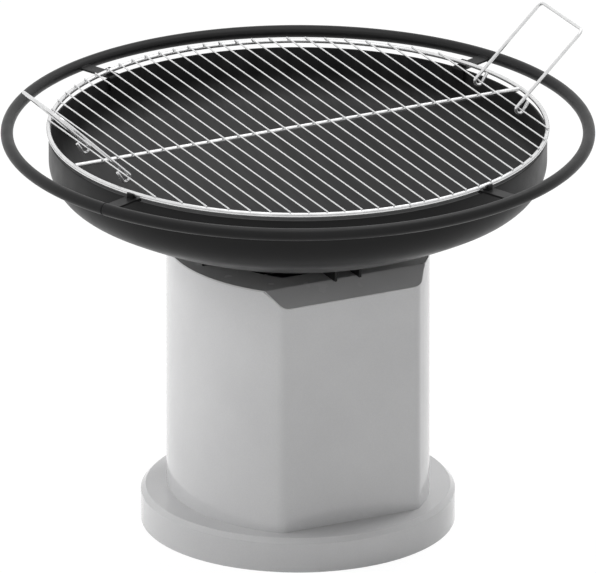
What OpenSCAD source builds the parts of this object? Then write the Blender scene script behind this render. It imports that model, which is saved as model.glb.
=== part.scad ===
// Fire bowl grill on a concrete pedestal, in millimetres, +Z up.
// The origin is the centre of the base disc's underside. The pedestal's two flat faces look
// along -Y (front) and +Y (rear), the grate's bars run along Y and its handles fold about them.

/* [Base disc] */
// Radius of the base disc
base_r = 269; // [250:0.5:320]
// Height of the base disc
base_h = 60; // [40:1:90]
// Chamfer round the base disc's top edge
base_chamfer = 8; // [2:0.5:15]

/* [Column] */
// Height of the column above the base disc
column_h = 434.5; // [300:0.5:550]
// Half the column's width, from its axis to the crest of a round side
column_half_w = 220; // [210:1:235]
// Half the column's depth, from its axis to a flat face
column_half_d = 203; // [195:1:212]
// Radius of the column's round sides
column_arc_r = 272; // [260:1:290]
// Radius of the upright corner between a flat face and a round side
column_corner_r = 24; // [6:1:40]
// Wall thickness at the crest of a round side
column_wall_side = 71; // [55:1:80]
// Wall thickness at a flat face
column_wall_flat = 66; // [55:1:75]
// Radius of the hollow's round sides
hollow_arc_r = 205; // [195:1:225]
// Radius of the hollow's upright corners
hollow_corner_r = 10; // [4:1:25]

/* [Top plate] */
// Sheet thickness of the top plate
plate_t = 3; // [2:0.5:6]
// Distance from a flat face in to the bend line of the plate's flap
flap_inset = 23; // [18:1:28]
// Length of a flap from its bend line to its lower edge
flap_len = 41; // [36:1:55]
// Slope of a flap below the horizontal, in degrees
flap_angle = 42.5; // [30:0.5:55]
// How far each side edge of a flap runs in, towards its lower edge
flap_taper = 22; // [10:1:45]
// Radius of a flap's lower corners
flap_corner_r = 20; // [4:1:26]
// Inside radius of the bend
flap_bend_r = 2; // [1:0.5:4]

/* [Cradle] */
// Thickness of a cradle blade
blade_t = 4; // [3:0.5:8]
// Distance between the centre planes of two parallel blades
blade_pitch = 46; // [36:1:80]
// Length of a blade
blade_len = 386; // [350:1:400]
// Depth of a blade's web below the top plate
web_drop = 35; // [20:1:60]

/* [Fire bowl] */
// Outside radius of the bowl's upright flange
bowl_r = 425; // [400:1:440]
// Wall thickness of the bowl
bowl_wall = 4; // [3:0.5:6]
// Height of the bowl's upright flange
bowl_flange_h = 44.2; // [30:0.1:60]
// Outside radius of the knuckle between the flange and the dished bottom
bowl_knuckle_r = 61; // [45:1:80]
// Outside radius of the dished bottom
bowl_crown_r = 820; // [740:1:950]
// Height of the bowl's lowest point above the top plate
bowl_lift = 2.7; // [2:0.1:12]

/* [Handrail] */
// Distance from the bowl's flange out to the handrail's centre line
rail_reach = 71; // [60:1:95]
// Outside diameter of the handrail's tube
rail_tube_d = 21.3; // [17.2:0.1:26.9]
// Height of the handrail's centre line above the bowl's rim
rail_rise = 2.6; // [0:0.1:5]

/* [Brackets] */
// Turn of the first bracket about the axis, in degrees
bracket_turn = 22.5; // [15:0.5:40]
// Width of a bracket's strap
bracket_w = 24; // [16:1:36]
// Thickness of a bracket's strap
bracket_t = 3.5; // [3:0.5:6]
// Depth of a bracket's leg below the bowl's rim
bracket_leg = 22; // [12:1:35]

/* [Grate stops] */
// Width of a stop
stop_w = 10; // [6:1:16]
// Thickness of a stop's upright
stop_t = 4; // [3:0.5:6]
// Height of a stop's upright above its bracket
stop_h = 10.1; // [9:0.1:16]
// Height of a stop's seat above its bracket
stop_seat_h = 3.3; // [3:0.1:6]

/* [Grate] */
// How far the grate ring reaches out past the bowl's flange
ring_reach = 4; // [1:0.5:7]
// Diameter of the grate ring's rod
ring_rod_d = 8; // [6:0.5:10]
// Diameter of the crossbar's rod
cross_rod_d = 8; // [5:0.5:10]
// Diameter of a grate bar's wire
bar_d = 3; // [2.5:0.1:4]
// Distance from the ring's centre line in to the outermost bars, which carry the handles
pivot_inset = 52.8; // [46:0.1:75]
// How far a bar's ends reach past the grate ring's centre line
bar_overhang = 2; // [0:0.5:3.5]

/* [Handles] */
// Diameter of a handle's wire
handle_wire_d = 6; // [5:0.5:7]
// Distance between the centre lines of a handle's two legs
handle_w = 156; // [130:1:170]
// Shift of both handles along the bars, from the grate's centre
handle_shift = -20; // [-24:1:-16]
// Length of a handle from its pivot bar to the grip's centre line
handle_len = 172; // [140:1:190]
// Bend radius of a handle's two corners
handle_corner_r = 10; // [6:1:20]
// Slope of the handles above the horizontal as stored, in degrees
handle_tilt = 43.5; // [20:0.5:80]
// Bend radius of a handle's hook, on its centre line
hook_r = 7.5; // [7.3:0.1:9]
// Angle that a hook's bend turns through, in degrees
hook_turn = 196; // [188:1:202]
// Length of a hook's straight tail
hook_tail = 18.5; // [8:0.5:20]
// How much thinner a hook's tail is than its bend, so that its foot lies inside the bend's end
tail_step = 0.1; // [0.05:0.05:0.3]

/* [Fixings] */
// Diameter of a top plate screw
screw_d = 10; // [8:1:12]
// Length of a top plate screw under its head
screw_len = 28; // [20:1:36]
// Diameter of a top plate screw's head
screw_head_d = 17; // [15:0.5:20]
// Height of a top plate screw's head
screw_head_h = 5.5; // [4:0.5:8]
// Distance of a rear screw to the side of the middle
screw_rear_x = 97; // [60:1:110]
// Outside diameter of a cast-in socket at the column's top
screw_socket_d = 18; // [16:1:24]
// Length of a cast-in socket at the column's top
screw_socket_len = 42; // [38:1:60]
// Diameter of a foot bolt
bolt_d = 12; // [10:1:16]
// Reach of a foot bolt into the column
bolt_reach = 40; // [25:1:45]
// Width across the corners of a foot bolt's hexagon head
bolt_head_d = 21; // [19:0.5:25]
// Height of a foot bolt's head
bolt_head_h = 7.5; // [6:0.5:10]
// Diameter of a foot bolt's washer
washer_d = 28; // [26:1:32]
// Thickness of a foot bolt's washer
washer_t = 2.5; // [2:0.5:4]
// Diameter of the recess for a foot bolt's head in the base disc's underside
recess_d = 36; // [34:1:44]
// Depth of that recess
recess_h = 15; // [14:1:22]
// Outside diameter of a cast-in socket at the column's foot
bolt_socket_d = 24; // [20:1:30]
// Length of a cast-in socket at the column's foot
bolt_socket_len = 60; // [50:1:80]

/* [Clearances] */
// Gap between two surfaces that a weld bead joins
weld_gap = 0.1; // [0.05:0.05:0.3]
// Gap between the bowl's crown and the blades' upper edges
crown_gap = 0.2; // [0.1:0.05:0.4]
// Gap between the column's bevel and the flap lying over it
bevel_gap = 0.6; // [0.6:0.1:1]
// Gap between a web's end and the edge of the plate's opening
web_gap = 3; // [1:0.5:6]
// Gap at each side of a blade in another blade's slot
slot_gap = 0.15; // [0.05:0.05:0.4]
// Gap between a bracket's leg and the bowl's inner wall
leg_gap = 1.5; // [1:0.1:3]
// Gap between the grate ring and the seats of its stops
seat_gap = 0.3; // [0.2:0.05:0.5]
// Gap between the grate ring and a stop's upright
stop_gap = 1; // [0.5:0.1:2]
// Gap between a pivot bar and the handle leg that lies on it
pivot_gap = 0.3; // [0.2:0.05:0.5]
// Radial gap of a screw or bolt in its socket
thread_gap = 0.05; // [0.02:0.01:0.1]
// Radial gap of a screw or bolt in the piece it passes through
hole_gap = 0.6; // [0.3:0.1:1]
// Radial gap round a cast-in socket
socket_gap = 0.1; // [0.05:0.05:0.2]
// Room past the tip of a screw or bolt in its socket
tip_gap = 4; // [2:0.5:6]

/* [Hidden] */
$fn = 96;
RAIL_JOINTS = 4;
SIDE_BARS = 12;
BEND_STEPS = 6;
TINY = 1;

// Levels, from the floor up
column_z = base_h;
column_top_z = column_z + column_h;
plate_top_z = column_top_z + plate_t;
bowl_low_z = plate_top_z + bowl_lift;

// The bowl's meridian: crown, knuckle and flange, each tangent to the next
knuckle_x = bowl_r - bowl_knuckle_r;
crown_rise = sqrt(pow(bowl_crown_r - bowl_knuckle_r, 2) - pow(knuckle_x, 2));
crown_z = bowl_low_z + bowl_crown_r;
flange_z = crown_z - crown_rise;
rim_z = flange_z + bowl_flange_h;
dish_depth = bowl_crown_r - crown_rise;

// The handrail, the brackets that carry it and the stops that carry the grate
rail_r = bowl_r + rail_reach;
rail_z = rim_z + rail_rise;
rail_inner_r = rail_r - rail_tube_d / 2;
grate_r = bowl_r + ring_reach - ring_rod_d / 2;
bracket_top_z = rim_z + bracket_t;
leg_outer_r = bowl_r - bowl_wall - leg_gap;
leg_inner_r = leg_outer_r - bracket_t;
stop_inner_r = grate_r - ring_rod_d / 2;
stop_upright_r = grate_r + ring_rod_d / 2 + stop_gap;

// The grate
ring_z = bracket_top_z + stop_seat_h + seat_gap + ring_rod_d / 2;
bar_z = ring_z + max(ring_rod_d, cross_rod_d) / 2 + weld_gap + bar_d / 2;
bar_reach = grate_r + bar_overhang;
pivot_x = grate_r - pivot_inset;
bar_pitch = pivot_x / (SIDE_BARS + 1);

// The handles: heights are measured square to the legs, from the pivot bar's centre line
leg_offset = bar_d / 2 + pivot_gap + handle_wire_d / 2;
hook_offset = leg_offset - hook_r;

// The plate's bend and the column's hollow
bend_y = column_half_d - flap_inset;
bend_outer_r = flap_bend_r + plate_t;
bend_setback = bend_outer_r * tan(flap_angle / 2);
flap_root_half_w = sqrt(pow(column_arc_r, 2) - pow(bend_y, 2)) - (column_arc_r - column_half_w);
hollow_half_w = column_half_w - column_wall_side;
hollow_half_d = column_half_d - column_wall_flat;
hollow_arc_c = hollow_arc_r - hollow_half_w;

// Half the hollow's width at a distance from its middle
function hollow_half_at(y) = sqrt(pow(hollow_arc_r, 2) - pow(y, 2)) - hollow_arc_c;

// Places of the fixings, in the middle of the column's walls
wall_mid_x = column_half_w - column_wall_side / 2;
wall_mid_y = column_half_d - column_wall_flat / 2;
shelf_mid_y = (hollow_half_d + bend_y) / 2;
screw_places = [
    [wall_mid_x, 0],
    [-wall_mid_x, 0],
    [screw_rear_x, shelf_mid_y],
    [-screw_rear_x, shelf_mid_y]
];
bolt_places = [
    [wall_mid_x, 0],
    [-wall_mid_x, 0],
    [0, wall_mid_y],
    [0, -wall_mid_y]
];

BRACKETS = [for (i = [1 : RAIL_JOINTS]) str("bracket_", i)];
STOPS = [for (i = [1 : RAIL_JOINTS]) str("grate_stop_", i)];
BARS = [for (i = [1 : 2 * SIDE_BARS + 1]) str("grate_bar_", i)];

CONCRETE = [0.74, 0.74, 0.75];
BLACK_STEEL = [0.17, 0.17, 0.18];
PLATE_STEEL = [0.3, 0.3, 0.31];
BRIGHT_STEEL = [0.86, 0.86, 0.87];
ZINC_STEEL = [0.62, 0.63, 0.65];

// Rounds one corner of a convex outline: takes away the point at p between its neighbours a and b
// and leaves the arc of radius r that touches both edges
module rounded_corner(p, a, b, r) {
    ua = (a - p) / norm(a - p);
    ub = (b - p) / norm(b - p);
    half_angle = acos(ua * ub) / 2;
    centre = p + (ua + ub) / norm(ua + ub) * r / sin(half_angle);
    ta = p + ua * r / tan(half_angle);
    tb = p + ub * r / tan(half_angle);
    difference() {
        children();
        polygon([centre, 2 * ta - centre, 2 * p - centre, 2 * tb - centre]);
    }
    translate(centre) circle(r = r);
}

// Outline of the pedestal in plan: two round sides between two flat faces, with rounded corners
module pedestal_outline(half_w, half_d, arc_r, corner_r) {
    arc_c = arc_r - half_w;
    corner_y = half_d - corner_r;
    corner_x = sqrt(pow(arc_r - corner_r, 2) - pow(corner_y, 2)) - arc_c;
    out = [corner_x + arc_c, corner_y] * (arc_r + TINY) / (arc_r - corner_r) - [arc_c, 0];
    difference() {
        intersection() {
            translate([arc_c, 0]) circle(r = arc_r);
            translate([-arc_c, 0]) circle(r = arc_r);
            square([2 * arc_r, 2 * half_d], center = true);
        }
        for (sx = [-1, 1], sy = [-1, 1]) {
            polygon([
                [sx * corner_x, sy * corner_y],
                [sx * corner_x, sy * (half_d + TINY)],
                [sx * out.x, sy * (half_d + TINY)],
                [sx * out.x, sy * out.y]
            ]);
        }
    }
    for (sx = [-1, 1], sy = [-1, 1]) {
        translate([sx * corner_x, sy * corner_y]) circle(r = corner_r);
    }
}

module column_outline() {
    pedestal_outline(column_half_w, column_half_d, column_arc_r, column_corner_r);
}

module hollow_outline() {
    pedestal_outline(hollow_half_w, hollow_half_d, hollow_arc_r, hollow_corner_r);
}

module base_disc() {
    color(CONCRETE)
    difference() {
        rotate_extrude() polygon([
            [0, 0],
            [base_r, 0],
            [base_r, base_h - base_chamfer],
            [base_r - base_chamfer, base_h],
            [0, base_h]
        ]);
        for (p = bolt_places) {
            translate([p.x, p.y, -TINY]) cylinder(d = recess_d, h = recess_h + TINY);
            translate([p.x, p.y, 0]) cylinder(d = bolt_d + 2 * hole_gap, h = base_h + TINY);
        }
    }
}

// Half-space above a flap's slope at the front, lowered square to the slope by depth
module above_slope(depth) {
    reach = 2 * column_arc_r;
    translate([0, -bend_y, plate_top_z])
        rotate([flap_angle, 0, 0])
        translate([-reach, -2 * flap_len, -depth])
        cube([2 * reach, 3 * flap_len, 2 * flap_len]);
}

module column() {
    color(CONCRETE)
    difference() {
        translate([0, 0, column_z]) linear_extrude(column_h) difference() {
            column_outline();
            hollow_outline();
        }
        for (turn = [0, 180]) {
            rotate([0, 0, turn]) above_slope(plate_t + bevel_gap);
        }
        for (p = screw_places) {
            translate([p.x, p.y, column_top_z - screw_socket_len])
                cylinder(d = screw_socket_d + 2 * socket_gap, h = screw_socket_len + TINY);
        }
        for (p = bolt_places) {
            translate([p.x, p.y, column_z - TINY])
                cylinder(d = bolt_socket_d + 2 * socket_gap, h = bolt_socket_len + TINY);
        }
    }
}

// Flap of the top plate, laid out flat: y runs up the slope and 0 is the bend line
module flap_outline() {
    low_half_w = flap_root_half_w - flap_taper;
    right = [low_half_w, -flap_len];
    left = [-low_half_w, -flap_len];
    rounded_corner(left, right, [-flap_root_half_w, 0], flap_corner_r)
    rounded_corner(right, left, [flap_root_half_w, 0], flap_corner_r)
    polygon([
        [-flap_root_half_w, 2 * bend_outer_r],
        [-flap_root_half_w, 0],
        left,
        right,
        [flap_root_half_w, 0],
        [flap_root_half_w, 2 * bend_outer_r]
    ]);
}

// Section of the bend and the flap, with the bend's centre at the origin and a short flat lead
// that runs into the plate. It is a little longer than the flap, which its outline trims.
module flap_section() {
    lead = 2 * bend_outer_r;
    down = flap_len * [-cos(flap_angle), -sin(flap_angle)];
    turns = [for (i = [0 : BEND_STEPS]) 90 + i * flap_angle / BEND_STEPS];
    outer = [for (a = turns) bend_outer_r * [cos(a), sin(a)]];
    inner = [for (i = [BEND_STEPS : -1 : 0]) flap_bend_r * [cos(turns[i]), sin(turns[i])]];
    polygon(concat(
        [[lead, bend_outer_r]],
        outer,
        [outer[BEND_STEPS] + down, inner[0] + down],
        inner,
        [[lead, flap_bend_r]]
    ));
}

module flap() {
    intersection() {
        translate([-column_arc_r, bend_setback - bend_y, plate_top_z - bend_outer_r])
            rotate([90, 0, 90])
            linear_extrude(2 * column_arc_r)
            flap_section();
        translate([0, -bend_y, plate_top_z])
            rotate([flap_angle, 0, 0])
            translate([0, 0, -3 * bend_outer_r])
            linear_extrude(4 * bend_outer_r)
            flap_outline();
    }
}

module top_plate() {
    color(PLATE_STEEL)
    difference() {
        union() {
            translate([0, 0, column_top_z]) linear_extrude(plate_t) intersection() {
                column_outline();
                square([2 * column_arc_r, 2 * (bend_y - bend_setback)], center = true);
            }
            for (turn = [0, 180]) {
                rotate([0, 0, turn]) flap();
            }
        }
        translate([0, 0, column_top_z - TINY]) linear_extrude(plate_t + 2 * TINY) hollow_outline();
        for (p = screw_places) {
            translate([p.x, p.y, column_top_z - TINY])
                cylinder(d = screw_d + 2 * hole_gap, h = plate_t + 2 * TINY);
        }
    }
}

module plate_screws() {
    color(ZINC_STEEL)
    for (p = screw_places) {
        translate([p.x, p.y, plate_top_z - screw_len]) cylinder(d = screw_d, h = screw_len);
        translate([p.x, p.y, plate_top_z]) cylinder(d = screw_head_d, h = screw_head_h);
    }
}

// Threaded socket with a closed end, standing on its mouth
module cast_in_socket(outer_d, thread_d, length, depth) {
    difference() {
        cylinder(d = outer_d, h = length);
        translate([0, 0, -TINY]) cylinder(d = thread_d + 2 * thread_gap, h = depth + TINY);
    }
}

module plate_sockets() {
    color(ZINC_STEEL)
    for (p = screw_places) {
        translate([p.x, p.y, column_top_z])
            mirror([0, 0, 1])
            cast_in_socket(screw_socket_d, screw_d, screw_socket_len, screw_len - plate_t + tip_gap);
    }
}

module foot_bolts() {
    color(ZINC_STEEL)
    for (p = bolt_places) {
        translate([p.x, p.y, recess_h - washer_t])
            cylinder(d = bolt_d, h = column_z + bolt_reach - recess_h + washer_t);
        translate([p.x, p.y, recess_h - washer_t - bolt_head_h])
            cylinder(d = bolt_head_d, h = bolt_head_h, $fn = 6);
    }
}

module foot_washers() {
    color(ZINC_STEEL)
    for (p = bolt_places) {
        translate([p.x, p.y, recess_h - washer_t]) difference() {
            cylinder(d = washer_d, h = washer_t);
            translate([0, 0, -TINY]) cylinder(d = bolt_d + 2 * hole_gap, h = washer_t + 2 * TINY);
        }
    }
}

module foot_sockets() {
    color(ZINC_STEEL)
    for (p = bolt_places) {
        translate([p.x, p.y, column_z])
            cast_in_socket(bolt_socket_d, bolt_d, bolt_socket_len, bolt_reach + tip_gap);
    }
}

// Cradle blade in its own plane: x runs along the blade and y up, with the top plate's face at 0.
// The upper edge follows the bowl's crown and the web hangs in the plate's opening.
module blade_profile(web_half_len) {
    near = blade_pitch / 2 - blade_t / 2;
    difference() {
        union() {
            translate([-blade_len / 2, 0]) square([blade_len, blade_len / 4]);
            translate([-web_half_len, -web_drop]) square([2 * web_half_len, web_drop + TINY]);
        }
        translate([0, crown_z - plate_top_z])
            circle(r = sqrt(pow(bowl_crown_r + crown_gap, 2) - pow(near, 2)), $fn = 4 * $fn);
    }
}

// Slots of a blade where the two blades across it pass, from one edge to half the web's depth
module blade_slots(upward) {
    slot_w = blade_t + 2 * slot_gap;
    for (side = [-1, 1]) {
        translate([side * blade_pitch / 2 - slot_w / 2, upward ? -web_drop / 2 : -2 * web_drop])
            square([slot_w, 1.5 * web_drop]);
    }
}

module blade(web_half_len, slots_upward) {
    rotate([90, 0, 0])
        translate([0, plate_top_z, -blade_t / 2])
        linear_extrude(blade_t)
        difference() {
            blade_profile(web_half_len);
            blade_slots(slots_upward);
        }
}

// Blade across the pedestal, along X
module cross_blade(side) {
    color(BLACK_STEEL)
    translate([0, side * blade_pitch / 2, 0])
        blade(hollow_half_at(blade_pitch / 2 + blade_t / 2) - web_gap, true);
}

// Blade from front to rear, along Y
module long_blade(side) {
    color(BLACK_STEEL)
    translate([side * blade_pitch / 2, 0, 0])
        rotate([0, 0, 90])
        blade(hollow_half_d - web_gap, false);
}

// Half section of the dished bowl within its wall by inset, with the flange's foot at y = 0.
// Crown, knuckle and flange share their edges and are tangent to one another.
module dish_section(inset) {
    axis_dir = [knuckle_x, -crown_rise] / (bowl_crown_r - bowl_knuckle_r);
    knuckle = [knuckle_x, 0];
    out = knuckle + 2 * bowl_knuckle_r * axis_dir;
    square([bowl_r - inset, bowl_flange_h + inset]);
    intersection() {
        translate(knuckle) circle(r = bowl_knuckle_r - inset);
        polygon([knuckle, knuckle + [2 * bowl_knuckle_r, 0], [out.x + bowl_knuckle_r, out.y], out]);
    }
    intersection() {
        translate([0, crown_rise]) circle(r = bowl_crown_r - inset);
        polygon([[0, 0], knuckle, out, [0, -1.5 * dish_depth]]);
    }
}

module fire_bowl() {
    color(BLACK_STEEL)
    translate([0, 0, flange_z]) rotate_extrude($fn = 2 * $fn) difference() {
        dish_section(0);
        dish_section(bowl_wall);
    }
}

module handrail() {
    color(BLACK_STEEL)
    translate([0, 0, rail_z])
        rotate_extrude($fn = 2 * $fn)
        translate([rail_r, 0])
        circle(d = rail_tube_d, $fn = 32);
}

// Section of a bracket: the strap on the rim, the bend over the rim's inner edge and the leg
module bracket_section() {
    bend_r = leg_gap + bracket_t;
    bend = [leg_inner_r + bend_r, bracket_top_z - bend_r];
    translate([bend.x, rim_z]) square([rail_r - bend.x, bracket_t]);
    translate([leg_inner_r, rim_z - bracket_leg]) square([bracket_t, bend.y - rim_z + bracket_leg]);
    intersection() {
        translate(bend) difference() {
            circle(r = bend_r);
            circle(r = leg_gap);
        }
        translate([leg_inner_r, bend.y]) square(bend_r);
    }
}

module bracket(i) {
    color(BLACK_STEEL)
    rotate([0, 0, bracket_turn + (i - 1) * 360 / RAIL_JOINTS])
        intersection() {
            rotate([90, 0, 0])
                translate([0, 0, -bracket_w / 2])
                linear_extrude(bracket_w)
                bracket_section();
            cylinder(r = rail_inner_r - weld_gap, h = 2 * rim_z);
        }
}

module grate_stop(i) {
    color(BLACK_STEEL)
    rotate([0, 0, bracket_turn + (i - 1) * 360 / RAIL_JOINTS])
        translate([0, -stop_w / 2, bracket_top_z]) {
            translate([stop_inner_r, 0, 0])
                cube([stop_upright_r - stop_inner_r, stop_w, stop_seat_h]);
            translate([stop_upright_r, 0, 0]) cube([stop_t, stop_w, stop_h]);
        }
}

module grate_ring() {
    color(BRIGHT_STEEL)
    translate([0, 0, ring_z])
        rotate_extrude($fn = 2 * $fn)
        translate([grate_r, 0])
        circle(d = ring_rod_d, $fn = 24);
}

module grate_crossbar() {
    half_len = grate_r - ring_rod_d / 2 - weld_gap;
    color(BRIGHT_STEEL)
    translate([-half_len, 0, ring_z])
        rotate([0, 90, 0])
        cylinder(d = cross_rod_d, h = 2 * half_len, $fn = 24);
}

// Bar along Y, k pitches from the middle of the grate, ending just past the ring
module bar_at(k) {
    half_len = sqrt(pow(bar_reach, 2) - pow(k * bar_pitch, 2));
    color(BRIGHT_STEEL)
    translate([k * bar_pitch, half_len, bar_z])
        rotate([90, 0, 0])
        cylinder(d = bar_d, h = 2 * half_len, $fn = 16);
}

// Hook at the foot of a handle's leg, round the pivot bar's centre line at the origin.
// The wire turns back under the bar and ends in a straight tail that closes in on the leg.
module hook() {
    end_angle = 90 + hook_turn;
    translate([0, 0, hook_offset]) {
        rotate([90, 0, 0])
            rotate([0, 0, 90])
            rotate_extrude(angle = hook_turn, $fn = 64)
            translate([hook_r, 0])
            circle(d = handle_wire_d, $fn = 24);
        translate([hook_r * cos(end_angle), 0, hook_r * sin(end_angle)])
            rotate([0, 270 - hook_turn, 0])
            translate([0, 0, -tail_step])
            cylinder(d = handle_wire_d - tail_step, h = hook_tail + tail_step, $fn = 24);
    }
}

// Handle in its own frame: x runs up the legs, y along the pivot bar and z square to both
module handle_shape() {
    straight = handle_len - handle_corner_r;
    half_grip = handle_w / 2 - handle_corner_r;
    for (side = [-1, 1]) {
        translate([0, side * handle_w / 2, 0]) {
            hook();
            translate([0, 0, leg_offset])
                rotate([0, 90, 0])
                cylinder(d = handle_wire_d, h = straight, $fn = 24);
        }
        translate([straight, side * half_grip, leg_offset])
            rotate([0, 0, side > 0 ? 0 : -90])
            rotate_extrude(angle = 90, $fn = 64)
            translate([handle_corner_r, 0])
            circle(d = handle_wire_d, $fn = 24);
    }
    translate([handle_len, half_grip, leg_offset])
        rotate([90, 0, 0])
        cylinder(d = handle_wire_d, h = 2 * half_grip, $fn = 24);
}

module handle_right() {
    color(BRIGHT_STEEL)
    translate([pivot_x, handle_shift, bar_z])
        rotate([0, -handle_tilt, 0])
        handle_shape();
}

module handle_left() {
    mirror([1, 0, 0]) handle_right();
}

base_disc();
column();
top_plate();
plate_screws();
plate_sockets();
foot_bolts();
foot_washers();
foot_sockets();
cross_blade(-1);  // blade_front
cross_blade(1);  // blade_rear
long_blade(-1);  // blade_left
long_blade(1);  // blade_right
fire_bowl();
handrail();
for (i = [1 : RAIL_JOINTS]) {
    bracket(i);
    grate_stop(i);
}
grate_ring();
grate_crossbar();
for (i = [1 : 2 * SIDE_BARS + 1]) {
    bar_at(i - 1 - SIDE_BARS);
}
bar_at(-SIDE_BARS - 1);  // pivot_bar_left
bar_at(SIDE_BARS + 1);  // pivot_bar_right
handle_left();
handle_right();
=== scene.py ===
import math

import bmesh
import bpy
from mathutils import Matrix, Vector


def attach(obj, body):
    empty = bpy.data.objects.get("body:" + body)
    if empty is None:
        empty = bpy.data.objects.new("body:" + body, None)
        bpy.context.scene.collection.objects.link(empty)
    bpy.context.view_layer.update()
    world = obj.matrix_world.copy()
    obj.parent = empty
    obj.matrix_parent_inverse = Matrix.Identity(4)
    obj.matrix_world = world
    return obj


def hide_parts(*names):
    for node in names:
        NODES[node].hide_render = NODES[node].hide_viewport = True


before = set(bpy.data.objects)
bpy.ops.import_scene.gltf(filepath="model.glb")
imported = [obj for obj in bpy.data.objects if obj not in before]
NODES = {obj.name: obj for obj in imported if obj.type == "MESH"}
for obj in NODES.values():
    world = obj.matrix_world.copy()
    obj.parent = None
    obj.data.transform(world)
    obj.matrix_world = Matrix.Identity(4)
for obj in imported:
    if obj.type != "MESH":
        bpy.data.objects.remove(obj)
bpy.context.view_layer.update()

MM = 0.001
X_AXIS = Vector((1, 0, 0))
Y_AXIS = Vector((0, 1, 0))
Z_AXIS = Vector((0, 0, 1))

# Sizes of the object that the dressed pieces repeat, in metres and degrees
BOWL_R = 425 * MM
BOWL_WALL = 4 * MM
FLANGE_H = 44.2 * MM
KNUCKLE_R = 61 * MM
CROWN_R = 820 * MM
BOWL_LOW_Z = 500.2 * MM
RAIL_R = 496 * MM
RAIL_TUBE_R = 10.65 * MM
RAIL_RISE = 2.6 * MM
BRACKET_T = 3.5 * MM
BRACKET_W = 24 * MM
BRACKET_TURN = 22.5
GRATE_R = 425 * MM
RING_ROD_R = 4 * MM
BAR_WIRE_R = 1.5 * MM
BAR_OVERHANG = 2 * MM
SIDE_BARS = 13
PIVOT_INSET = 52.8 * MM
STOP_SEAT_H = 3.3 * MM
STOP_GAP = 1 * MM
STOP_T = 4 * MM
SEAT_GAP = 0.3 * MM
WELD_GAP = 0.1 * MM
HANDLE_WIRE_R = 3 * MM
HANDLE_W = 156 * MM
HANDLE_SHIFT = -20 * MM
HANDLE_LEN = 172 * MM
HANDLE_CORNER_R = 10 * MM
HANDLE_TILT = 43.5
HOOK_R = 7.5 * MM
HOOK_TURN = 196
HOOK_TAIL = 18.5 * MM
PIVOT_GAP = 0.3 * MM

# Levels that follow from them
CROWN_Z = BOWL_LOW_Z + CROWN_R
KNUCKLE_X = BOWL_R - KNUCKLE_R
CROWN_RISE = math.sqrt((CROWN_R - KNUCKLE_R) ** 2 - KNUCKLE_X ** 2)
FLANGE_Z = CROWN_Z - CROWN_RISE
RIM_Z = FLANGE_Z + FLANGE_H
RAIL_Z = RIM_Z + RAIL_RISE
BRACKET_Z = RIM_Z + BRACKET_T
RING_Z = BRACKET_Z + STOP_SEAT_H + SEAT_GAP + RING_ROD_R
BAR_Z = RING_Z + RING_ROD_R + WELD_GAP + BAR_WIRE_R
PIVOT_X = GRATE_R - PIVOT_INSET
BAR_PITCH = PIVOT_X / SIDE_BARS
LEG_OFFSET = BAR_WIRE_R + PIVOT_GAP + HANDLE_WIRE_R

# Fineness: steps along the round pieces and sides round the tube and wires
BOWL_STEPS = 288
MERIDIAN_STEPS = 40
RAIL_STEPS = 360
RING_STEPS = 288
HOOK_STEPS = 24
CORNER_STEPS = 10
RAIL_SIDES = 32
ROD_SIDES = 20
BAR_SIDES = 12

# The photograph's view: its width and the size of a pixel at the object, the camera's turn and
# rise in degrees, and the point that it aims at, by height on the axis and pixels to the side
IMAGE_W = 596
PIXEL = 1.70761 * MM
VIEW_TURN = -26.317
VIEW_RISE = 20.802
AIM_Z = 419.1 * MM
AIM_SIDE_PX = 0.05
LENS = 1600
SENSOR = 36

# Studio, in metres and degrees
FLOOR_R = 4.0
LAMP_TARGET = Vector((0, 0, 0.45))
LAMP_DISTANCE = 3.2
LAMP_SIZE = 2.0
TOP_LAMP_SIZE = 2.2
LOW_RISE = 22
HIGH_RISE = 58
TOP_RISE = 88


def direction(turn, rise):
    """Unit vector from the object towards a point at that turn and rise, in degrees."""
    a = math.radians(turn)
    e = math.radians(rise)
    return Vector((math.sin(a) * math.cos(e), -math.cos(a) * math.cos(e), math.sin(e)))


def new_object(name, data):
    obj = bpy.data.objects.new(name, data)
    bpy.context.scene.collection.objects.link(obj)
    return obj


def mesh_object(name, bm, material, smooth=True):
    """Turns a bmesh into an object, with its faces' normals outward."""
    bmesh.ops.recalc_face_normals(bm, faces=bm.faces)
    mesh = bpy.data.meshes.new(name)
    bm.to_mesh(mesh)
    bm.free()
    for polygon in mesh.polygons:
        polygon.use_smooth = smooth
    mesh.materials.append(material)
    return new_object(name, mesh)


# Materials

def grey(level, blue=None):
    """A grey, or with a blue level of its own a slightly cool grey."""
    return (level, level, level if blue is None else blue)


def start_material(name):
    """A new material with its node tree, its shader and the object coordinates."""
    mat = bpy.data.materials.new(name)
    mat.use_nodes = True
    tree = mat.node_tree
    shader = tree.nodes["Principled BSDF"]
    coord = tree.nodes.new("ShaderNodeTexCoord")
    return mat, tree, shader, coord.outputs["Object"]


def stretched(tree, vector, scale, turn):
    mapping = tree.nodes.new("ShaderNodeMapping")
    mapping.inputs["Scale"].default_value = scale
    mapping.inputs["Rotation"].default_value = (0, 0, math.radians(turn))
    tree.links.new(vector, mapping.inputs["Vector"])
    return mapping.outputs["Vector"]


def noise(tree, vector, scale, detail, roughness=0.5):
    node = tree.nodes.new("ShaderNodeTexNoise")
    node.inputs["Scale"].default_value = scale
    node.inputs["Detail"].default_value = detail
    node.inputs["Roughness"].default_value = roughness
    tree.links.new(vector, node.inputs["Vector"])
    return node.outputs["Fac"]


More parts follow.
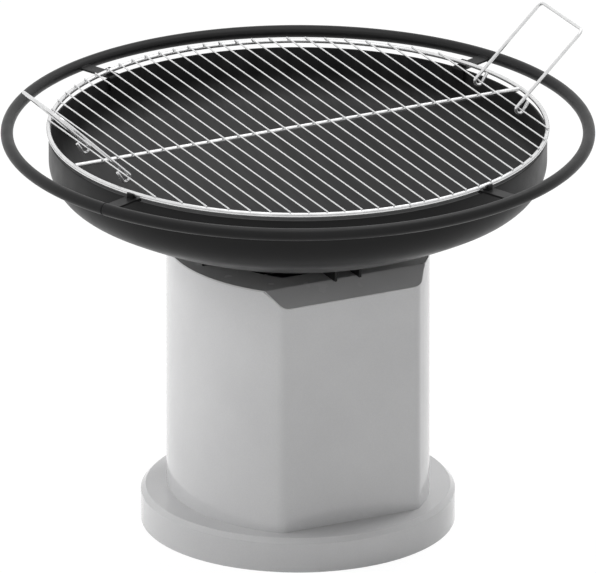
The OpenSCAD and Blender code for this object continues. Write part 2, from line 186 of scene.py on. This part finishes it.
def spread(tree, value, low, high, low_in=0.3, high_in=0.7):
    """Spreads a value from low_in to high_in over low to high."""
    node = tree.nodes.new("ShaderNodeMapRange")
    node.inputs["From Min"].default_value = low_in
    node.inputs["From Max"].default_value = high_in
    node.inputs["To Min"].default_value = low
    node.inputs["To Max"].default_value = high
    tree.links.new(value, node.inputs["Value"])
    return node.outputs["Result"]


def shades(tree, value, dark, light, low_in=0.3, high_in=0.7):
    """Runs a value from low_in to high_in through the colours from dark to light."""
    ramp = tree.nodes.new("ShaderNodeValToRGB")
    ramp.color_ramp.elements[0].position = low_in
    ramp.color_ramp.elements[0].color = (*dark, 1)
    ramp.color_ramp.elements[1].position = high_in
    ramp.color_ramp.elements[1].color = (*light, 1)
    tree.links.new(value, ramp.inputs["Fac"])
    return ramp.outputs["Color"]


def multiply_colors(tree, a, b):
    node = tree.nodes.new("ShaderNodeMix")
    node.data_type = "RGBA"
    node.blend_type = "MULTIPLY"
    node.inputs["Factor"].default_value = 1.0
    tree.links.new(a, node.inputs["A"])
    tree.links.new(b, node.inputs["B"])
    return node.outputs["Result"]


def math_node(tree, operation, *values):
    """A Math node on sockets and plain numbers."""
    node = tree.nodes.new("ShaderNodeMath")
    node.operation = operation
    for socket, value in zip(node.inputs, values):
        if isinstance(value, (int, float)):
            socket.default_value = value
        else:
            tree.links.new(value, socket)
    return node.outputs["Value"]


def bump(tree, shader, height, strength, distance):
    node = tree.nodes.new("ShaderNodeBump")
    node.inputs["Strength"].default_value = strength
    node.inputs["Distance"].default_value = distance
    tree.links.new(height, node.inputs["Height"])
    tree.links.new(node.outputs["Normal"], shader.inputs["Normal"])


def concrete_material():
    """Pale cast concrete with a sealed surface: faint clouds, fine grain and a few air pores,
    bumped in and darkened with painted shade.
    """
    mat, tree, shader, coord = start_material("concrete")
    clouds = noise(tree, coord, scale=5, detail=4, roughness=0.55)
    clouds = shades(tree, clouds, grey(0.61, 0.617), grey(0.655, 0.66))
    grain = noise(tree, coord, scale=420, detail=3, roughness=0.6)
    grain = shades(tree, grain, grey(0.95), grey(1))

    pores = tree.nodes.new("ShaderNodeTexVoronoi")
    pores.inputs["Scale"].default_value = 75
    tree.links.new(coord, pores.inputs["Vector"])
    pit = spread(tree, pores.outputs["Distance"], 1, 0, low_in=0.02, high_in=0.06)
    sparse = noise(tree, coord, scale=38, detail=1)
    sparse = spread(tree, sparse, 0, 1, low_in=0.62, high_in=0.66)
    pit = math_node(tree, "MULTIPLY", pit, sparse)
    # The pores' darker colour is painted shade in the pits; their hollow itself comes from the
    # bump below.
    pore_painted_shade = shades(tree, pit, grey(1), grey(0.8), low_in=0, high_in=1)

    color = multiply_colors(tree, multiply_colors(tree, clouds, grain), pore_painted_shade)
    tree.links.new(color, shader.inputs["Base Color"])
    gloss = spread(tree, noise(tree, coord, scale=22, detail=3), 0.05, 0.08)
    tree.links.new(gloss, shader.inputs["Roughness"])
    shader.inputs["IOR"].default_value = 1.55
    height = math_node(tree, "SUBTRACT", noise(tree, coord, scale=260, detail=3), pit)
    bump(tree, shader, height, strength=0.06, distance=0.6 * MM)
    return mat


def coat_material(name, dark, light, rough, specular):
    """Satin coat on steel: slight orange peel and small changes of shade and gloss."""
    mat, tree, shader, coord = start_material(name)
    color = shades(tree, noise(tree, coord, scale=14, detail=4), dark, light)
    tree.links.new(color, shader.inputs["Base Color"])
    gloss = spread(tree, noise(tree, coord, scale=30, detail=3), *rough)
    tree.links.new(gloss, shader.inputs["Roughness"])
    shader.inputs["Specular IOR Level"].default_value = specular
    bump(tree, shader, noise(tree, coord, scale=850, detail=2), strength=0.12, distance=0.4 * MM)
    return mat


def hearth_material():
    """Inside of the bowl: dark steel sheet with faint rolling streaks."""
    mat, tree, shader, coord = start_material("hearth_steel")
    grain_turn = 38
    streaks = stretched(tree, coord, (70, 2.2, 2.2), grain_turn)
    streaks = noise(tree, streaks, scale=1, detail=4, roughness=0.6)
    fine = stretched(tree, coord, (420, 9, 9), grain_turn)
    fine = noise(tree, fine, scale=1, detail=2, roughness=0.6)
    tone = math_node(tree, "MULTIPLY_ADD", streaks, 0.7, math_node(tree, "MULTIPLY", fine, 0.3))
    color = shades(tree, tone, grey(0.007, 0.0072), grey(0.018, 0.0183), low_in=0.36, high_in=0.64)
    tree.links.new(color, shader.inputs["Base Color"])
    tree.links.new(spread(tree, fine, 0.41, 0.49), shader.inputs["Roughness"])
    shader.inputs["Specular IOR Level"].default_value = 0.31
    bump(tree, shader, fine, strength=0.1, distance=0.3 * MM)
    return mat


def wire_material(name, dark, light, rough, metallic=0.72):
    """Bright drawn steel wire with fine drawing lines."""
    mat, tree, shader, coord = start_material(name)
    shader.inputs["Metallic"].default_value = metallic
    color = shades(tree, noise(tree, coord, scale=60, detail=3), dark, light)
    tree.links.new(color, shader.inputs["Base Color"])
    gloss = spread(tree, noise(tree, coord, scale=900, detail=2), *rough)
    tree.links.new(gloss, shader.inputs["Roughness"])
    bump(tree, shader, noise(tree, coord, scale=1500, detail=2), strength=0.03, distance=0.2 * MM)
    return mat


CONCRETE = concrete_material()
BLACK = coat_material("black_coat", dark=grey(0.0105, 0.0107), light=grey(0.0125, 0.0128),
                      rough=(0.34, 0.42), specular=0.155)
CRADLE = coat_material("cradle_coat", dark=grey(0.012), light=grey(0.016),
                       rough=(0.4, 0.5), specular=0.15)
PLATE = coat_material("plate_coat", dark=grey(0.455, 0.458), light=grey(0.485, 0.488),
                      rough=(0.22, 0.28), specular=0.36)
HEARTH = hearth_material()
WIRE = wire_material("bright_wire", dark=grey(0.66, 0.665), light=grey(0.76), rough=(0.07, 0.12))
ZINC = wire_material("zinc_steel", dark=(0.42, 0.43, 0.45), light=(0.58, 0.59, 0.6),
                     rough=(0.3, 0.45), metallic=0.85)
BEAD = wire_material("weld_bead", dark=grey(0.38), light=grey(0.5), rough=(0.3, 0.45))


# Shapes

def full_turn(steps):
    """Angles of that many even steps round a circle, in radians."""
    return [2 * math.pi * i / steps for i in range(steps)]


def ring_points(centre, across, up, radius, sides):
    return [centre + across * (radius * math.cos(t)) + up * (radius * math.sin(t))
            for t in full_turn(sides)]


def add_sweep(bm, path, radii, sides, closed=False):
    """Adds a round tube along the path, with a radius at each point and flat ends if open."""
    count = len(path)
    if closed:
        steps = [path[(i + 1) % count] - path[i - 1] for i in range(count)]
    else:
        steps = [path[min(i + 1, count - 1)] - path[max(i - 1, 0)] for i in range(count)]
    tangents = [step.normalized() for step in steps]
    across = Z_AXIS if closed else tangents[0].orthogonal().normalized()
    rings = []
    for point, tangent, radius in zip(path, tangents, radii):
        across = (across - tangent * across.dot(tangent)).normalized()
        up = tangent.cross(across)
        corners = ring_points(point, across, up, radius, sides)
        rings.append([bm.verts.new(corner) for corner in corners])
    pairs = zip(rings, rings[1:] + rings[:1]) if closed else zip(rings, rings[1:])
    for a, b in pairs:
        for i in range(sides):
            j = (i + 1) % sides
            bm.faces.new((a[i], a[j], b[j], b[i]))
    if not closed:
        bm.faces.new(rings[0])
        bm.faces.new(rings[-1])


def add_wire(bm, path, radius, sides):
    """Adds an open wire along the path, with its cut ends slightly rounded over."""
    ease = radius * 0.25
    first_step = 0.3
    start = (path[1] - path[0]).normalized()
    end = (path[-1] - path[-2]).normalized()
    points = [path[0], path[0] + start * ease * first_step, path[0] + start * ease]
    points += path[1:-1]
    points += [path[-1] - end * ease, path[-1] - end * ease * first_step, path[-1]]
    tip = [radius - ease, radius - ease * first_step]
    radii = tip + [radius] * (len(points) - 2 * len(tip)) + tip[::-1]
    add_sweep(bm, points, radii, sides)


def circle_path(radius, z, steps):
    return [Vector((radius * math.cos(t), radius * math.sin(t), z)) for t in full_turn(steps)]


def add_bead(bm, centre, half_length, along, normal, size, steps):
    """Adds a small weld bead: a low lens lying along a line."""
    height_share = 0.7
    across = normal.cross(along).normalized()
    axes = (along * half_length, across * size, normal * size * height_share)
    matrix = Matrix(axes).transposed().to_4x4()
    matrix.translation = centre
    bmesh.ops.create_uvsphere(bm, u_segments=steps, v_segments=steps // 2 + 1, radius=1,
                              matrix=matrix)


def lathe(name, profile, material, steps):
    """Turns a profile of (radius, height) points about the axis, where they become one vertex."""
    bm = bmesh.new()
    loops = []
    for r, z in profile:
        if r < 1e-7:
            loops.append([bm.verts.new((0, 0, z))])
        else:
            loops.append([bm.verts.new((r * math.cos(t), r * math.sin(t), z))
                          for t in full_turn(steps)])
    for a, b in zip(loops, loops[1:]):
        for i in range(steps):
            j = (i + 1) % steps
            corners = [a[i % len(a)], a[j % len(a)], b[j % len(b)], b[i % len(b)]]
            corners = list(dict.fromkeys(corners))
            if len(corners) > 2:
                bm.faces.new(corners)
    return mesh_object(name, bm, material)


def arc(cx, cz, radius, start, end, steps):
    """Points of (radius, height) along an arc from start to end, in degrees."""
    turns = [math.radians(start + (end - start) * i / steps) for i in range(steps + 1)]
    return [(cx + radius * math.cos(t), cz + radius * math.sin(t)) for t in turns]


# Fire bowl: one shell with a rounded rim, coated outside and bare with streaks inside

def dish_meridian(inset):
    """The bowl's wall line from the axis up to the flange, inset from the outside."""
    tangent = math.degrees(math.atan2(-CROWN_RISE, KNUCKLE_X))
    crown = arc(0, CROWN_Z, CROWN_R - inset, -90, tangent, MERIDIAN_STEPS)
    knuckle = arc(KNUCKLE_X, FLANGE_Z, KNUCKLE_R - inset, tangent, 0, MERIDIAN_STEPS // 2)
    crown[0] = (0.0, crown[0][1])
    return crown + knuckle[1:]


def streak_inside(bowl, edge):
    """Gives the hearth's material to the faces that look into the bowl, below its rounded rim."""
    inside_r = BOWL_R - BOWL_WALL * 0.75
    least_rise = 0.05
    least_inward = 0.5
    bowl.data.materials.append(HEARTH)
    for polygon in bowl.data.polygons:
        middle = polygon.center
        radius = math.hypot(middle.x, middle.y)
        normal = polygon.normal
        inward = -(normal.x * middle.x + normal.y * middle.y)
        facing_in = normal.z > least_rise or inward > least_inward * radius
        if facing_in and radius < inside_r and middle.z < RIM_Z - edge:
            polygon.material_index = 1


def make_bowl():
    edge = 1.2 * MM
    edge_steps = 4
    outer = dish_meridian(0)
    inner = dish_meridian(BOWL_WALL)
    rim = [(BOWL_R, RIM_Z - FLANGE_H * 0.5)]
    rim += arc(BOWL_R - edge, RIM_Z - edge, edge, 0, 90, edge_steps)
    rim += arc(BOWL_R - BOWL_WALL + edge, RIM_Z - edge, edge, 90, 180, edge_steps)
    bowl = lathe("fire_bowl_shell", outer + rim + inner[::-1], BLACK, BOWL_STEPS)
    streak_inside(bowl, edge)
    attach(bowl, "stand")
    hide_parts("fire_bowl")


# Handrail: a bent tube with one dressed butt weld, a narrow groove, by the front left bracket

def make_handrail():
    seam_turn = 202.6
    seam_depth = 3 * MM
    seam_floor = math.degrees(1.4 * MM / RAIL_R)
    seam_edge = math.degrees(1.8 * MM / RAIL_R)
    seam_side = 1.4 * seam_edge
    turns = [360 * i / RAIL_STEPS for i in range(RAIL_STEPS)]
    turns = [turn for turn in turns if abs(turn - seam_turn) > 2 * seam_edge]
    turns += [seam_turn + turn for turn in (-seam_side, -seam_edge, -seam_floor, 0)]
    turns += [seam_turn + turn for turn in (seam_floor, seam_edge, seam_side)]
    turns.sort()
    path = []
    radii = []
    for turn in turns:
        t = math.radians(turn)
        path.append(Vector((RAIL_R * math.cos(t), RAIL_R * math.sin(t), RAIL_Z)))
        in_seam = abs(turn - seam_turn) <= seam_floor + 1e-9
        radii.append(RAIL_TUBE_R - seam_depth if in_seam else RAIL_TUBE_R)
    bm = bmesh.new()
    add_sweep(bm, path, radii, RAIL_SIDES, closed=True)
    rail = mesh_object("handrail_tube", bm, BLACK)
    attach(rail, "stand")
    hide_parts("handrail")


# Weld beads between the brackets, the handrail and the stops

def make_bracket_welds():
    rail_bead = 1.6 * MM
    edge_bead = 1.3 * MM
    stop_bead = 1.1 * MM
    stop_bead_half = 4.2 * MM
    stop_foot = GRATE_R + RING_ROD_R + STOP_GAP + STOP_T
    bm = bmesh.new()
    for i in range(4):
        turn = math.radians(BRACKET_TURN + 90 * i)
        out = Vector((math.cos(turn), math.sin(turn), 0))
        side = Vector((-out.y, out.x, 0))
        toe = out * (RAIL_R - RAIL_TUBE_R) + Z_AXIS * BRACKET_Z
        add_bead(bm, toe, BRACKET_W * 0.46, side, (Z_AXIS - out).normalized(), rail_bead, 12)
        for sign in (-1, 1):
            edge = toe + side * (sign * BRACKET_W / 2) - Z_AXIS * (BRACKET_T / 2)
            facing = (side * sign - out).normalized()
            add_bead(bm, edge, BRACKET_T * 0.6, Z_AXIS, facing, edge_bead, 10)
        foot = out * stop_foot + Z_AXIS * BRACKET_Z
        add_bead(bm, foot, stop_bead_half, side, (Z_AXIS + out).normalized(), stop_bead, 10)
    welds = mesh_object("bracket_welds", bm, BLACK)
    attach(welds, "stand")


# Grate: ring with its butt weld, crossbar, bars with rounded tips and the spot welds

def bar_rows():
    """The bars and pivot bars from left to right, as their numbers and places across the grate."""
    return [(k, k * BAR_PITCH) for k in range(-SIDE_BARS, SIDE_BARS + 1)]


def make_ring():
    path = circle_path(GRATE_R, RING_Z, RING_STEPS)
    bm = bmesh.new()
    add_sweep(bm, path, [RING_ROD_R] * len(path), ROD_SIDES, closed=True)
    ring = mesh_object("grate_ring_rod", bm, WIRE)
    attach(ring, "grate")
    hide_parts("grate_ring")


def make_crossbar():
    into_ring = 0.4 * MM
    reach = GRATE_R - RING_ROD_R + into_ring
    path = [Vector((x, 0, RING_Z)) for x in (-reach, 0, reach)]
    bm = bmesh.new()
    add_wire(bm, path, RING_ROD_R, ROD_SIDES)
    cross = mesh_object("grate_cross_rod", bm, WIRE)
    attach(cross, "grate")
    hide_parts("grate_crossbar")


def make_bars():
    for k, x in bar_rows():
        half = math.sqrt((GRATE_R + BAR_OVERHANG) ** 2 - x ** 2)
        path = [Vector((x, half * s, BAR_Z)) for s in (-1, -0.5, 0, 0.5, 1)]
        bm = bmesh.new()
        add_wire(bm, path, BAR_WIRE_R, BAR_SIDES)
        if abs(k) < SIDE_BARS:
            node = "grate_bar_%d" % (k + SIDE_BARS)
        else:
            node = "pivot_bar_right" if k > 0 else "pivot_bar_left"
        wire = mesh_object(node + "_wire", bm, WIRE)
        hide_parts(node)
        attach(wire, "grate")


def add_ring_seam(bm):
    """Adds the ring's butt weld, a low collar at the front of the rod."""
    seam_half = 2.5 * MM
    crest_share = 0.4
    foot_r = RING_ROD_R - 0.3 * MM
    crest_r = RING_ROD_R + 0.35 * MM
    turn = -math.pi / 2
    centre = Vector((GRATE_R * math.cos(turn), GRATE_R * math.sin(turn), RING_Z))
    foot = X_AXIS * seam_half
    crest = foot * crest_share
    path = [centre - foot, centre - crest, centre + crest, centre + foot]
    add_sweep(bm, path, [foot_r, crest_r, crest_r, foot_r], ROD_SIDES)


def make_grate_welds():
    spot_half = 2.6 * MM
    spot_size = 1.7 * MM
    end_half = 3.6 * MM
    end_size = 3.9 * MM
    bm = bmesh.new()
    add_ring_seam(bm)
    for _, x in bar_rows():
        ring_y = math.sqrt(GRATE_R ** 2 - x ** 2)
        for y in (-ring_y, 0.0, ring_y):
            touch = Vector((x, y, BAR_Z - BAR_WIRE_R))
            add_bead(bm, touch, spot_half, Y_AXIS, Z_AXIS, spot_size, 8)
    for side in (-1, 1):
        end = Vector((side * (GRATE_R - RING_ROD_R), 0, RING_Z))
        add_bead(bm, end, end_half, Z_AXIS, X_AXIS * side, end_size, 12)
    welds = mesh_object("grate_welds", bm, BEAD)
    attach(welds, "grate")


# Handles: one bent wire each, hooked round the outermost bars

def leg_path(side):
    """One side of a handle, from its hook's tip past the corner, in the handle's own frame."""
    y = side * HANDLE_W / 2
    centre_z = LEG_OFFSET - HOOK_R
    end = math.radians(90 + HOOK_TURN)
    tail_dir = Vector((-math.sin(end), 0, math.cos(end)))
    bend_end = Vector((HOOK_R * math.cos(end), y, centre_z + HOOK_R * math.sin(end)))
    path = [bend_end + tail_dir * (HOOK_TAIL * s) for s in (1, 0.6, 0.25)]
    for i in range(HOOK_STEPS, -1, -1):
        t = math.radians(90 + HOOK_TURN * i / HOOK_STEPS)
        path.append(Vector((HOOK_R * math.cos(t), y, centre_z + HOOK_R * math.sin(t))))
    straight = HANDLE_LEN - HANDLE_CORNER_R
    path += [Vector((straight * s, y, LEG_OFFSET)) for s in (0.1, 0.4, 0.7, 0.97)]
    for i in range(CORNER_STEPS + 1):
        t = math.radians(90 * i / CORNER_STEPS)
        bend_y = side * (HANDLE_W / 2 - HANDLE_CORNER_R + HANDLE_CORNER_R * math.cos(t))
        path.append(Vector((straight + HANDLE_CORNER_R * math.sin(t), bend_y, LEG_OFFSET)))
    return path


def make_handle(side):
    """The right handle for side 1 and the left one for side -1, raised as in the photograph."""
    path = leg_path(-1)
    path += [Vector((HANDLE_LEN, y * HANDLE_W / 2, LEG_OFFSET)) for y in (-0.4, 0, 0.4)]
    path += leg_path(1)[::-1]
    tilt = math.radians(HANDLE_TILT)
    along = Vector((side * math.cos(tilt), 0, math.sin(tilt)))
    normal = Vector((-side * math.sin(tilt), 0, math.cos(tilt)))
    pivot = Vector((side * PIVOT_X, HANDLE_SHIFT, BAR_Z))
    placed = [pivot + along * p.x + Y_AXIS * p.y + normal * p.z for p in path]
    bm = bmesh.new()
    add_wire(bm, placed, HANDLE_WIRE_R, ROD_SIDES)
    name = "handle_right" if side > 0 else "handle_left"
    wire = mesh_object(name + "_wire", bm, WIRE)
    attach(wire, name)
    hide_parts(name)


# Concrete, plate, cradle, brackets, stops and fixings keep their own solids and get materials

def dress(node, material):
    obj = NODES[node]
    obj.data.materials.clear()
    obj.data.materials.append(material)


def dress_solids():
    for node in ("base_disc", "column"):
        dress(node, CONCRETE)
    dress("top_plate", PLATE)
    for node in NODES:
        if node.startswith("blade_"):
            dress(node, CRADLE)
        if node.startswith(("bracket_", "grate_stop_")):
            dress(node, BLACK)
    for node in ("plate_screws", "plate_sockets", "foot_bolts", "foot_washers", "foot_sockets"):
        dress(node, ZINC)


# Floor, world, lights and camera

def seen_share(tree):
    """1 for the camera's rays and those through gloss and glass, and 0 for diffuse light."""
    path = tree.nodes.new("ShaderNodeLightPath")
    camera = path.outputs["Is Camera Ray"]
    seen = math_node(tree, "MAXIMUM", camera, path.outputs["Is Transmission Ray"])
    return math_node(tree, "MAXIMUM", seen, path.outputs["Is Glossy Ray"])


def floor_material():
    """White floor that shows as white and keeps a soft trace of the object's shadow."""
    mat = bpy.data.materials.new("floor_white")
    mat.use_nodes = True
    tree = mat.node_tree
    tree.nodes.clear()
    out = tree.nodes.new("ShaderNodeOutputMaterial")
    diffuse = tree.nodes.new("ShaderNodeBsdfDiffuse")
    diffuse.inputs["Color"].default_value = (0.8, 0.8, 0.8, 1)
    glow = tree.nodes.new("ShaderNodeEmission")
    glow.inputs["Strength"].default_value = 1.06
    glow_share = math_node(tree, "MULTIPLY", seen_share(tree), 0.9)
    mix = tree.nodes.new("ShaderNodeMixShader")
    tree.links.new(glow_share, mix.inputs["Fac"])
    tree.links.new(diffuse.outputs["BSDF"], mix.inputs[1])
    tree.links.new(glow.outputs["Emission"], mix.inputs[2])
    tree.links.new(mix.outputs["Shader"], out.inputs["Surface"])
    return mat


def make_floor():
    bm = bmesh.new()
    bmesh.ops.create_circle(bm, cap_ends=True, segments=96, radius=FLOOR_R)
    floor = mesh_object("floor", bm, floor_material(), smooth=False)


def make_world():
    """White surroundings for the camera, gloss and glass. The lamps give the diffuse light."""
    world = bpy.data.worlds.new("studio")
    bpy.context.scene.world = world
    world.use_nodes = True
    tree = world.node_tree
    white = tree.nodes["Background"]
    white.inputs["Color"].default_value = (1, 1, 1, 1)
    tree.links.new(seen_share(tree), white.inputs["Strength"])


def area_light(name, turn, rise, power, size=LAMP_SIZE, distance=LAMP_DISTANCE, in_gloss=False):
    """Soft square light aimed at the object's middle, with its turn from the photograph's view."""
    light = bpy.data.lights.new(name, "AREA")
    light.shape = "SQUARE"
    light.size = size
    light.energy = power
    obj = new_object(name, light)
    back = direction(VIEW_TURN + turn, rise)
    obj.location = LAMP_TARGET + back * distance
    obj.rotation_mode = "QUATERNION"
    obj.rotation_quaternion = back.to_track_quat("Z", "Y")
    obj.visible_camera = False
    obj.visible_glossy = in_gloss


def make_lights():
    """Low lamps round the object, one high behind it, and a top lamp whose gloss is held back."""
    area_light("left_rear", -110, LOW_RISE, power=32)
    area_light("left", -80, LOW_RISE, power=43)
    area_light("front_left", -20, LOW_RISE, power=3)
    area_light("front_right", 20, LOW_RISE, power=25)
    area_light("right_rear", 140, LOW_RISE, power=75)
    area_light("rear", 180, LOW_RISE, power=5)
    area_light("right_rear_high", 140, HIGH_RISE, power=18, in_gloss=True)
    area_light("top", 0, TOP_RISE, power=42, size=TOP_LAMP_SIZE, distance=3.0)
    area_light("top_glint", 0, TOP_RISE, power=24, size=TOP_LAMP_SIZE, distance=2.9, in_gloss=True)


def make_camera():
    data = bpy.data.cameras.new("camera")
    camera = new_object("camera", data)
    data.lens = LENS
    data.sensor_width = SENSOR
    data.sensor_fit = "HORIZONTAL"
    back = direction(VIEW_TURN, VIEW_RISE)
    right = direction(VIEW_TURN + 90, 0)
    distance = LENS / SENSOR * IMAGE_W * PIXEL
    aim = Z_AXIS * AIM_Z + right * (AIM_SIDE_PX * PIXEL)
    camera.location = aim + back * distance
    camera.rotation_mode = "QUATERNION"
    camera.rotation_quaternion = back.to_track_quat("Z", "Y")
    data.clip_start = 1.0
    data.clip_end = 2 * distance
    bpy.context.scene.camera = camera


dress_solids()
make_bowl()
make_handrail()
make_bracket_welds()
make_ring()
make_crossbar()
make_bars()
make_grate_welds()
make_handle(1)
make_handle(-1)

make_floor()
make_world()
make_lights()
make_camera()
bpy.context.scene.view_settings.view_transform = "Standard"
